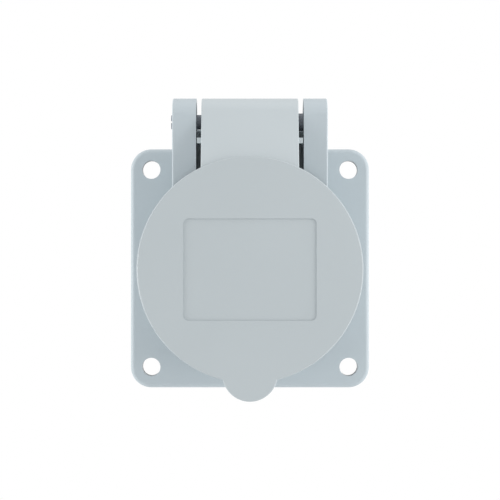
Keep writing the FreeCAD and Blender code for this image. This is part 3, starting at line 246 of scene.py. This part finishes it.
# Free cutting brass, turned on a lathe: warm metal with the tool's rings round the axis.
# The real feed is about 0.05 mm a turn, and is drawn at 0.5 mm to show.
def make_turned_brass():
    material, tree, place = new_material("turned_brass")
    rings = add_node(tree, "ShaderNodeTexWave", {
        "Vector": place, "Scale": math.tau / WAVE_ANGLE / TURNED_RINGS,
        "Distortion": 0.6, "Detail": 2.0}, bands_direction="Y")
    tarnish = add_node(tree, "ShaderNodeTexNoise", {
        "Vector": place, "Scale": 1 / BRASS_TARNISH, "Detail": 4.0})
    tint = add_node(tree, "ShaderNodeMix", {
        "Factor": tarnish.outputs["Fac"], "A": linear("#C59A4E"), "B": linear("#D9B56C")},
        data_type="RGBA")
    sheen = add_node(tree, "ShaderNodeMapRange", {
        "Value": tarnish.outputs["Fac"], "To Min": 0.22, "To Max": 0.36})
    bump = add_node(tree, "ShaderNodeBump", {
        "Height": rings.outputs["Fac"], "Strength": 0.35, "Distance": 0.006 * MM})
    shader = add_node(tree, "ShaderNodeBsdfPrincipled", {
        "Base Color": tint.outputs["Result"], "Roughness": sheen.outputs["Result"],
        "Metallic": 1.0, "Normal": bump.outputs["Normal"]})
    close_material(tree, shader)
    return material


# Steel with a bright zinc plate: cool and a little blue, mottled where the zinc crystals
# took the passivation unevenly. Real ones are too fine to see, and are drawn at 0.6 mm.
def make_zinc_plated_steel():
    material, tree, place = new_material("zinc_plated_steel")
    crystals = add_node(tree, "ShaderNodeTexVoronoi", {
        "Vector": place, "Scale": 1 / ZINC_CRYSTALS})
    cast = add_node(tree, "ShaderNodeTexNoise", {
        "Vector": place, "Scale": 1 / ZINC_CAST, "Detail": 3.0})
    tint = add_node(tree, "ShaderNodeMix", {
        "Factor": cast.outputs["Fac"], "A": linear("#A9AFB5"), "B": linear("#C4C7C6")},
        data_type="RGBA")
    sheen = add_node(tree, "ShaderNodeMapRange", {
        "Value": crystals.outputs["Distance"], "To Min": 0.26, "To Max": 0.42})
    shader = add_node(tree, "ShaderNodeBsdfPrincipled", {
        "Base Color": tint.outputs["Result"], "Roughness": sheen.outputs["Result"],
        "Metallic": 1.0})
    close_material(tree, shader)
    return material


# Stainless spring wire, cold drawn: grey metal with faint marks all along it, where some
# of the drawing soap is left.
def make_drawn_spring_wire():
    material, tree, place = new_material("drawn_spring_wire")
    soap = add_node(tree, "ShaderNodeTexNoise", {
        "Vector": place, "Scale": 1 / SOAP_MARKS, "Detail": 3.0})
    tint = add_node(tree, "ShaderNodeMix", {
        "Factor": soap.outputs["Fac"], "A": linear("#9C9D9B"), "B": linear("#B4B4B1")},
        data_type="RGBA")
    sheen = add_node(tree, "ShaderNodeMapRange", {
        "Value": soap.outputs["Fac"], "To Min": 0.24, "To Max": 0.38})
    bump = add_node(tree, "ShaderNodeBump", {
        "Height": soap.outputs["Fac"], "Strength": 0.3, "Distance": 0.005 * MM})
    shader = add_node(tree, "ShaderNodeBsdfPrincipled", {
        "Base Color": tint.outputs["Result"], "Roughness": sheen.outputs["Result"],
        "Metallic": 1.0, "Normal": bump.outputs["Normal"]})
    close_material(tree, shader)
    return material


def new_piece(name, mesh, material):
    """A mesh as a piece of the socket, with its finish."""
    mesh.materials.clear()
    mesh.materials.append(material)
    piece = bpy.data.objects.new(name, mesh)
    bpy.context.scene.collection.objects.link(piece)
    return piece


def baked_mesh(piece):
    """The piece's mesh with its modifiers in it."""
    graph = bpy.context.evaluated_depsgraph_get()
    return bpy.data.meshes.new_from_object(piece.evaluated_get(graph))


def on_ear_crease(point):
    """Whether a point lies on the line where the ears' flat fronts end."""
    return (abs(point.y - EAR_FRONT) < MERGE_DISTANCE
            and abs(point.z - EAR_CREASE) < MERGE_DISTANCE)


def joined_mesh(node):
    """A node's surface as one skin, smooth except at its corners and the ears' creases."""
    skin = bmesh.new()
    skin.from_mesh(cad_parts[node].data)
    bmesh.ops.remove_doubles(skin, verts=skin.verts, dist=MERGE_DISTANCE)
    mesh = bpy.data.meshes.new(node)
    skin.to_mesh(mesh)
    skin.free()
    # The normals that came with the loose faces would keep the skin faceted
    loose_normals = mesh.attributes.get("custom_normal")
    if loose_normals:
        mesh.attributes.remove(loose_normals)
    mesh.shade_smooth()
    mesh.set_sharp_from_angle(angle=CORNER_ANGLE)
    for edge in mesh.edges:
        if all(on_ear_crease(mesh.vertices[v].co) for v in edge.vertices):
            edge.use_edge_sharp = True
    return mesh


def finish_node(node, name, body, material):
    """A smooth piece in place of a frame's node, its flat faces kept flat beside rounds."""
    piece = new_piece(name, joined_mesh(node), material)
    normals = piece.modifiers.new("flat_faces_lead", "WEIGHTED_NORMAL")
    normals.keep_sharp = True
    mesh = baked_mesh(piece)
    piece.modifiers.remove(normals)
    piece.data = mesh
    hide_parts(node)
    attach(piece, body)


def spring_tree(material):
    """Node tree that bends a straight line into the spring and gives it its thickness.

    The line runs along the lid's leg, round the coil and out along the tail. Each point is
    placed beside the pin, as far above or below its height as it lies off the coil, and is
    then turned round the pin by the angle that the coil has reached there.
    """
    tree = bpy.data.node_groups.new("wound_spring", "GeometryNodeTree")
    face = tree.interface
    face.new_socket("Geometry", in_out="INPUT", socket_type="NodeSocketGeometry")
    sizes = [("Coil Radius", SPRING_COIL), ("Wire Radius", SPRING_WIRE),
             ("Width", SPRING_WIDTH), ("Turn", SPRING_TURNS * math.tau),
             ("Start Angle", SPRING_LID_ANGLE), ("Lid Leg", SPRING_LID_LEG),
             ("Tail", SPRING_TAIL)]
    for label, value in sizes:
        socket = face.new_socket(label, in_out="INPUT", socket_type="NodeSocketFloat")
        socket.default_value = value
    face.new_socket("Geometry", in_out="OUTPUT", socket_type="NodeSocketGeometry")
    given = add_node(tree, "NodeGroupInput").outputs

    coil_length = add_node(tree, "ShaderNodeMath", {
        0: given["Coil Radius"], 1: given["Turn"]}, operation="MULTIPLY")
    legs = add_node(tree, "ShaderNodeMath", {
        0: given["Lid Leg"], 1: given["Tail"]}, operation="ADD")
    whole = add_node(tree, "ShaderNodeMath", {
        0: coil_length.outputs[0], 1: legs.outputs[0]}, operation="ADD")
    share = add_node(tree, "GeometryNodeSplineParameter")
    walked = add_node(tree, "ShaderNodeMath", {
        0: share.outputs["Factor"], 1: whole.outputs[0]}, operation="MULTIPLY")
    past_leg = add_node(tree, "ShaderNodeMath", {
        0: walked.outputs[0], 1: given["Lid Leg"]}, operation="SUBTRACT")
    on_coil = add_node(tree, "ShaderNodeClamp", {
        "Value": past_leg.outputs[0], "Min": 0.0, "Max": coil_length.outputs[0]})
    off_coil = add_node(tree, "ShaderNodeMath", {
        0: past_leg.outputs[0], 1: on_coil.outputs[0]}, operation="SUBTRACT")
    wound = add_node(tree, "ShaderNodeMath", {
        0: on_coil.outputs[0], 1: coil_length.outputs[0]}, operation="DIVIDE")
    angle = add_node(tree, "ShaderNodeMath", {
        0: wound.outputs[0], 1: given["Turn"], 2: given["Start Angle"]},
        operation="MULTIPLY_ADD")
    from_middle = add_node(tree, "ShaderNodeMath", {
        0: wound.outputs[0], 1: 0.5}, operation="SUBTRACT")
    across = add_node(tree, "ShaderNodeMath", {
        0: from_middle.outputs[0], 1: given["Width"]}, operation="MULTIPLY")
    beside_pin = add_node(tree, "ShaderNodeCombineXYZ", {
        "X": across.outputs[0], "Y": given["Coil Radius"], "Z": off_coil.outputs[0]})
    turned = add_node(tree, "ShaderNodeVectorRotate", {
        "Vector": beside_pin.outputs["Vector"], "Angle": angle.outputs[0]},
        rotation_type="X_AXIS")

    line = add_node(tree, "GeometryNodeCurvePrimitiveLine")
    points = add_node(tree, "GeometryNodeResampleCurve", {
        "Curve": line.outputs["Curve"], "Count": SPRING_POINTS})
    bent = add_node(tree, "GeometryNodeSetPosition", {
        "Geometry": points.outputs["Curve"], "Position": turned.outputs["Vector"],
        "Offset": (0, PIN_Y, PIN_Z)})
    section = add_node(tree, "GeometryNodeCurvePrimitiveCircle", {
        "Resolution": SPRING_SIDES, "Radius": given["Wire Radius"]})
    wire = add_node(tree, "GeometryNodeCurveToMesh", {
        "Curve": bent.outputs["Geometry"], "Profile Curve": section.outputs["Curve"],
        "Fill Caps": True})
    smooth = add_node(tree, "GeometryNodeSetShadeSmooth", {
        "Geometry": wire.outputs["Mesh"]})
    real = add_node(tree, "GeometryNodeRealizeInstances", {
        "Geometry": smooth.outputs["Geometry"]})
    finished = add_node(tree, "GeometryNodeSetMaterial", {
        "Geometry": real.outputs["Geometry"], "Material": material})
    add_node(tree, "NodeGroupOutput", {"Geometry": finished.outputs["Geometry"]})
    return tree


def wind_spring(material):
    """The torsion spring: its left leg goes with the lid, its tail stays on the housing."""
    piece = new_piece("lid_return_spring", bpy.data.meshes.new("spring"), material)
    winding = piece.modifiers.new("winding", "NODES")
    winding.node_group = spring_tree(material)
    mesh = baked_mesh(piece)
    piece.modifiers.remove(winding)
    piece.data = mesh
    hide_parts("torsion_spring")
    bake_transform(piece)


def dress_socket():
    """Every node of the frame with its finish."""
    housing_grey_and_shade = make_housing_grey()
    lid_grey = make_lid_grey()
    dark = make_dark_nylon("moulded_dark_nylon", "#3A3E42", "#44484C", 0.5)
    # The pin's paler tones are painted light, for the light that reaches it between the
    # ears
    pin_grey_and_light = make_dark_nylon("moulded_pin_nylon", "#888E97", "#9298A1", 0.4)
    rubber = make_nitrile_rubber()
    brass = make_turned_brass()
    steel = make_zinc_plated_steel()
    finish_node("housing", "moulded_housing", "housing_body", housing_grey_and_shade)
    finish_node("lid", "moulded_lid", "lid_body", lid_grey)
    finish_node(
        "flange_gasket", "rubber_flange_gasket", "housing_body", rubber)
    finish_node("lid_seal", "rubber_lid_seal", "lid_body", rubber)
    finish_node("hinge_pin", "snap_hinge_pin", "housing_body", pin_grey_and_light)
    finish_node("contact_carrier", "moulded_carrier", "housing_body", dark)
    finish_node(
        "contact_retainer", "moulded_retainer", "housing_body", dark)
    for name in CONTACTS:
        sleeve, ring = f"{name}_sleeve", f"{name}_clamp_ring"
        screw = f"{name}_terminal_screw"
        finish_node(sleeve, f"turned_{sleeve}", "housing_body", brass)
        finish_node(ring, f"sprung_{ring}", "housing_body", steel)
        finish_node(screw, f"slotted_{screw}", "housing_body", steel)
    for screw in ("carrier_screw_right", "carrier_screw_left", "retainer_screw"):
        finish_node(screw, f"slotted_{screw}", "housing_body", steel)
    wind_spring(make_drawn_spring_wire())


# A round of matt white paper well below the socket, a little cloudy. It fades out towards
# its edge, so that no rim or horizon shows against the white round it.
def lay_floor():
    material, tree, place = new_material("matt_white_paper")
    clouds = add_node(tree, "ShaderNodeTexNoise", {
        "Vector": place, "Scale": 1 / PAPER_CLOUDS, "Detail": 3.0})
    tint = add_node(tree, "ShaderNodeMix", {
        "Factor": clouds.outputs["Fac"], "A": linear("#F2F3F3"), "B": linear("#F5F6F6")},
        data_type="RGBA")
    paper = add_node(tree, "ShaderNodeBsdfPrincipled", {
        "Base Color": tint.outputs["Result"], "Roughness": 0.9, "Specular IOR Level": 0.1})
    flat = add_node(tree, "ShaderNodeVectorMath", {
        0: place, 1: (1, 1, 0)}, operation="MULTIPLY")
    out = add_node(tree, "ShaderNodeVectorMath", {
        0: flat.outputs["Vector"]}, operation="LENGTH")
    faded = add_node(tree, "ShaderNodeMapRange", {
        "Value": out.outputs["Value"], "From Min": FLOOR_RADIUS / 2,
        "From Max": FLOOR_RADIUS}, interpolation_type="SMOOTHSTEP")
    nothing = add_node(tree, "ShaderNodeBsdfTransparent")
    shown = add_node(tree, "ShaderNodeMixShader", {
        "Fac": faded.outputs["Result"], 1: paper.outputs["BSDF"],
        2: nothing.outputs["BSDF"]})
    add_node(tree, "ShaderNodeOutputMaterial", {"Surface": shown.outputs["Shader"]})
    disc = bmesh.new()
    bmesh.ops.create_circle(
        disc, cap_ends=True, segments=FLOOR_SIDES, radius=FLOOR_RADIUS)
    bmesh.ops.translate(disc, verts=disc.verts, vec=Vector((0, 0, FLOOR_HEIGHT)))
    mesh = bpy.data.meshes.new("floor")
    disc.to_mesh(mesh)
    disc.free()
    mesh.materials.append(material)
    floor = bpy.data.objects.new("floor", mesh)
    bpy.context.scene.collection.objects.link(floor)


def light_studio():
    """A white tent round the socket, and soft boxes that light it from all sides.

    The camera and every reflection see the tent as pure white. Its light is dimmer.
    """
    world = bpy.data.worlds.new("white_tent")
    world.use_nodes = True
    tree = world.node_tree
    tree.nodes.clear()
    rays = add_node(tree, "ShaderNodeLightPath").outputs
    seen = add_node(tree, "ShaderNodeMath", {
        0: rays["Is Camera Ray"], 1: rays["Is Glossy Ray"]}, operation="MAXIMUM")
    plain = add_node(tree, "ShaderNodeMath", {
        0: seen.outputs[0], 1: rays["Is Transmission Ray"]}, operation="MAXIMUM")
    light = add_node(tree, "ShaderNodeBackground", {
        "Color": linear("#FAFCFF"), "Strength": TENT_LIGHT})
    white = add_node(tree, "ShaderNodeBackground", {
        "Color": linear("#FFFFFF"), "Strength": 1.0})
    either = add_node(tree, "ShaderNodeMixShader", {
        "Fac": plain.outputs[0], 1: light.outputs["Background"],
        2: white.outputs["Background"]})
    add_node(tree, "ShaderNodeOutputWorld", {"Surface": either.outputs["Shader"]})
    bpy.context.scene.world = world

    # Name, place and side in metres, and power in watts of each box. All face the socket
    soft_boxes = [
        ("front_box", (0.0, -0.9, 0.9), 0.4, 0.53),
        ("top_box", (0.1, 0.0, 1.0), 0.8, 2.58),
        ("right_box", (0.7, -0.25, 0.07), 0.5, 3.73),
        ("left_box", (-1.5, -0.52, 0.15), 1.0, 4.54),
        ("left_edge_box", (-1.0, -0.12, 0.05), 0.6, 4.82),
        ("back_box", (0.9, 1.1, 0.0), 1.0, 4.5),
    ]
    for name, place, side, power in soft_boxes:
        lamp = bpy.data.lights.new(name, "AREA")
        lamp.shape = "SQUARE"
        lamp.size = side
        lamp.energy = power
        box = bpy.data.objects.new(name, lamp)
        box.location = place
        box.rotation_euler = (-Vector(place)).to_track_quat("-Z", "Y").to_euler()
        bpy.context.scene.collection.objects.link(box)


def place_camera():
    """Straight in front, a little above the lid's middle, as the photograph was taken."""
    lens = bpy.data.cameras.new("camera")
    lens.sensor_width = CAMERA_SENSOR
    lens.lens = CAMERA_LENS
    camera = bpy.data.objects.new("camera", lens)
    camera.location = CAMERA_PLACE
    camera.rotation_euler = (math.radians(90), 0, 0)
    bpy.context.scene.collection.objects.link(camera)
    bpy.context.scene.camera = camera


dress_socket()
lay_floor()
light_studio()
place_camera()
bpy.context.scene.view_settings.view_transform = "Standard"
